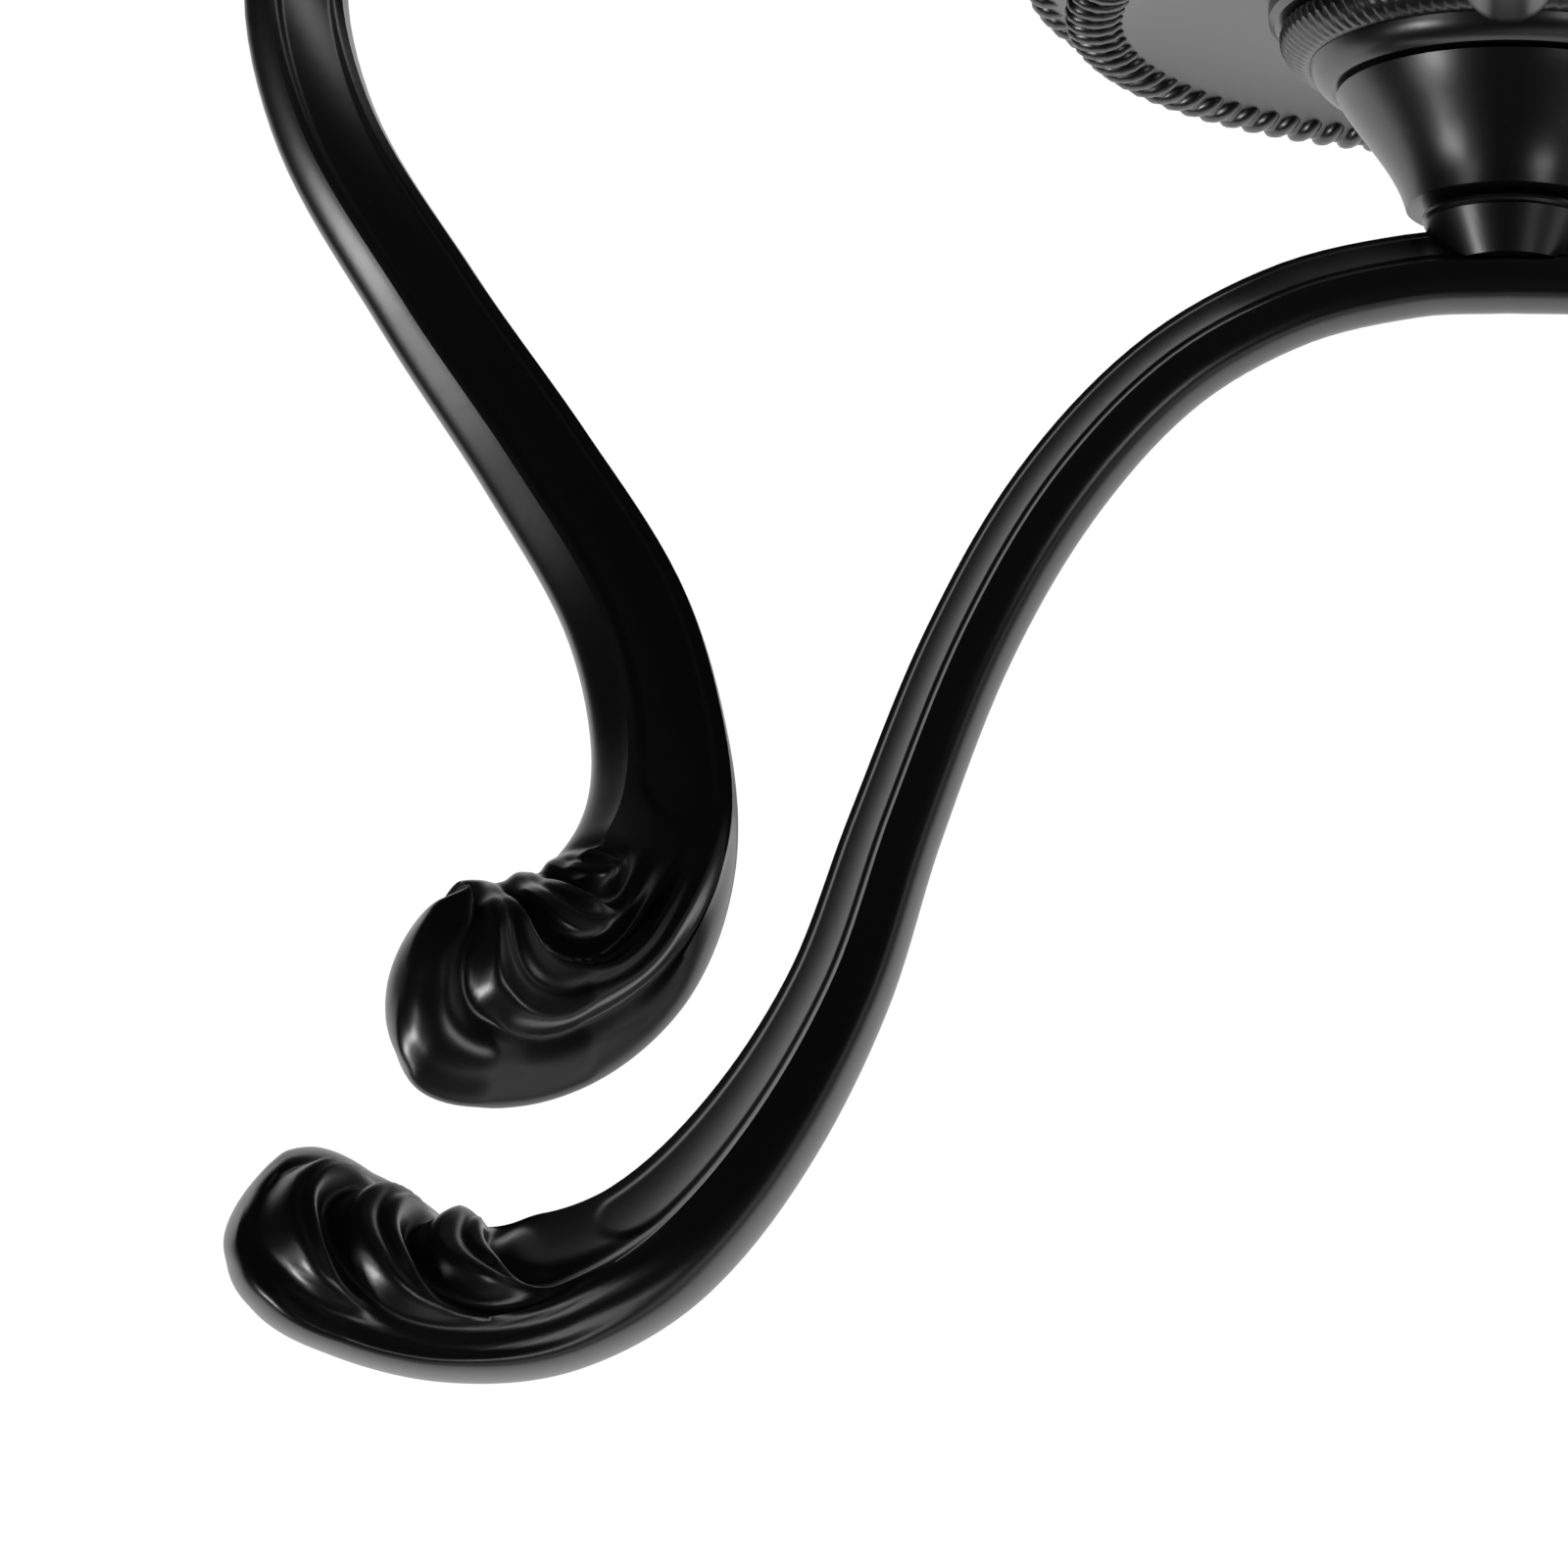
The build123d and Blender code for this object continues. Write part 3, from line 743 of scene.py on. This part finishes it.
SURFACE = surface_group()
BEAD_TREE, BEAD_SOCKETS = beaded_edge_tree()
BLACK = coated_metal(
    "black satin coat",
    colour=(0.007, 0.007, 0.0074),
    speck_colour=(0.03, 0.03, 0.03),
    roughness=0.30,
    variation=0.05,
    bump=0.10,
)
STEEL = coated_metal(
    "plated steel",
    colour=(0.55, 0.55, 0.56),
    speck_colour=(0.4, 0.4, 0.41),
    roughness=0.32,
    variation=0.10,
    bump=0.20,
    metallic=1.0,
)


def finish_cad_nodes():
    """Give every CAD node that stays in view its finish."""
    for name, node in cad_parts.items():
        material = STEEL if name in STEEL_NODES else BLACK
        node.data.materials.clear()
        node.data.materials.append(material)


def place_camera():
    """Stand the camera where the photograph was taken from."""
    lean = AXIS_TOWARDS_CAMERA
    towards = Vector((0, -lean, math.sqrt(1 - lean * lean)))
    right = Vector((1, 0, 0))
    up = towards.cross(right)
    focal_px = PX_PER_MM / MM * CAMERA_DISTANCE
    off_right = RIM_CENTRE_PX[0] - FRAME_PX / 2
    off_up = FRAME_PX / 2 - RIM_CENTRE_PX[1]
    forward = (-towards * focal_px - right * off_right - up * off_up).normalized()
    level = (right - forward * right.dot(forward)).normalized()
    raised = level.cross(forward)
    data = bpy.data.cameras.new("camera")
    data.sensor_width = 36.0
    data.lens = data.sensor_width * focal_px / FRAME_PX
    data.clip_start = 0.05
    data.clip_end = 20.0
    camera = bpy.data.objects.new("camera", data)
    turn = Matrix((level, raised, -forward)).transposed().to_4x4()
    camera.matrix_world = Matrix.Translation(RIM_CENTRE + towards * CAMERA_DISTANCE) @ turn
    bpy.context.scene.collection.objects.link(camera)
    bpy.context.scene.camera = camera


def white_floor_finish():
    """Plain white to the camera with a faint shadow; in gloss it darkens away from its front."""
    material = bpy.data.materials.new("white floor")
    material.use_nodes = True
    tree = material.node_tree
    nodes, links = tree.nodes, tree.links
    shader = nodes["Principled BSDF"]
    shader.inputs["Base Color"].default_value = (0.8, 0.8, 0.8, 1)
    shader.inputs["Roughness"].default_value = 1.0
    shader.inputs["Specular IOR Level"].default_value = 0.0
    place = nodes.new("ShaderNodeTexCoord")
    forward = nodes.new("ShaderNodeVectorMath")
    forward.operation = "ADD"
    forward.inputs[1].default_value = (0.0, BRIGHT_FORWARD, 0.0)
    links.new(place.outputs["Object"], forward.inputs[0])
    away = nodes.new("ShaderNodeVectorMath")
    away.operation = "LENGTH"
    links.new(forward.outputs["Vector"], away.inputs[0])
    start, end = BRIGHT_FADE
    in_gloss = ranged(tree, away.outputs["Value"], (start, 1.0), (end, FLOOR_DIM))
    path = nodes.new("ShaderNodeLightPath")
    strength = nodes.new("ShaderNodeMix")
    strength.inputs["B"].default_value = FLOOR_WHITE
    links.new(path.outputs["Is Camera Ray"], strength.inputs["Factor"])
    links.new(in_gloss, strength.inputs["A"])
    glow = nodes.new("ShaderNodeEmission")
    links.new(strength.outputs["Result"], glow.inputs["Strength"])
    either = calculated(
        tree, "MAXIMUM", path.outputs["Is Camera Ray"], path.outputs["Is Glossy Ray"]
    )
    any_ray = calculated(tree, "MAXIMUM", either, path.outputs["Is Diffuse Ray"])
    blend = nodes.new("ShaderNodeMixShader")
    links.new(calculated(tree, "MULTIPLY", any_ray, FLOOR_GLOW_SHARE), blend.inputs["Fac"])
    links.new(shader.outputs[0], blend.inputs[1])
    links.new(glow.outputs[0], blend.inputs[2])
    links.new(blend.outputs[0], nodes["Material Output"].inputs["Surface"])
    return material


def build_floor():
    """A wide pale floor well below the hook."""
    half = FLOOR_HALF
    mesh = bpy.data.meshes.new("floor")
    mesh.from_pydata(
        [(-half, -half, 0), (half, -half, 0), (half, half, 0), (-half, half, 0)], [], [(0, 1, 2, 3)]
    )
    floor = bpy.data.objects.new("floor", mesh)
    floor.location = (*FLOOR_MIDDLE, CAD_LOW.z - FLOOR_BELOW)
    mesh.materials.append(white_floor_finish())
    bpy.context.scene.collection.objects.link(floor)


def light_world():
    """White to the camera; in gloss dark, with a pale screen low down at the front right."""
    world = bpy.data.worlds.new("studio")
    bpy.context.scene.world = world
    world.use_nodes = True
    tree = world.node_tree
    nodes, links = tree.nodes, tree.links
    place = nodes.new("ShaderNodeTexCoord")
    split = nodes.new("ShaderNodeSeparateXYZ")
    links.new(place.outputs["Generated"], split.inputs[0])
    aside = nodes.new("ShaderNodeVectorMath")
    aside.operation = "DOT_PRODUCT"
    aside.inputs[1].default_value = SCREEN_TOWARDS
    links.new(place.outputs["Generated"], aside.inputs[0])
    screen = ranged(tree, aside.outputs["Value"], (SCREEN_EDGE, 0.0), (1.0, SCREEN_STRENGTH))
    low_down = ranged(tree, split.outputs["Z"], (0.0, 1.0), (SCREEN_TOP, 0.0))
    in_gloss = calculated(tree, "MULTIPLY_ADD", screen, low_down, ROOM_STRENGTH)
    path = nodes.new("ShaderNodeLightPath")
    seen = nodes.new("ShaderNodeMix")
    seen.data_type = "RGBA"
    seen.inputs["B"].default_value = (1, 1, 1, 1)
    links.new(path.outputs["Is Camera Ray"], seen.inputs["Factor"])
    links.new(in_gloss, seen.inputs["A"])
    links.new(seen.outputs["Result"], nodes["Background"].inputs["Color"])


def soft_lamp(name, place, size, power):
    """A square soft lamp aimed at the hook."""
    data = bpy.data.lights.new(name, "AREA")
    data.shape = "SQUARE"
    data.size = size
    data.energy = power
    lamp = bpy.data.objects.new(name, data)
    lamp.location = place
    aim = Vector(LAMP_AIM) - Vector(place)
    lamp.rotation_euler = aim.to_track_quat("-Z", "Y").to_euler()
    bpy.context.scene.collection.objects.link(lamp)


finish_cad_nodes()
build_arm_pair("lower_arms_leafed", LOWER_ARM, LOWER_LEAF, LOWER_SADDLE, "lower_arms", BLACK)
build_arm_pair("upper_arms_leafed", UPPER_ARM, UPPER_LEAF, UPPER_SADDLE, "upper_arms", BLACK)
build_turned("back_rosette_disc", BACK_PROFILE, "back_rosette", BLACK)
build_beaded_edge("back_rosette_rope", BACK_ROPE, BACK_BEADS, BACK_BEAD, BACK_BEAD_LEAN, BLACK)
build_turned("front_rosette_dish", dish_profile(), "front_rosette", BLACK)
build_beaded_edge("front_rosette_rope", DISH_ROPE, DISH_BEADS, DISH_BEAD, DISH_BEAD_LEAN, BLACK)
build_fluted("fluted_collar_ring", COLLAR_SIDE, COLLAR_FLUTES, "fluted_collar", BLACK)
build_floor()
light_world()
for lamp_name, lamp_place, lamp_size, lamp_power in LAMPS:
    soft_lamp(lamp_name, lamp_place, lamp_size, lamp_power)
place_camera()
bpy.context.scene.view_settings.view_transform = "Standard"
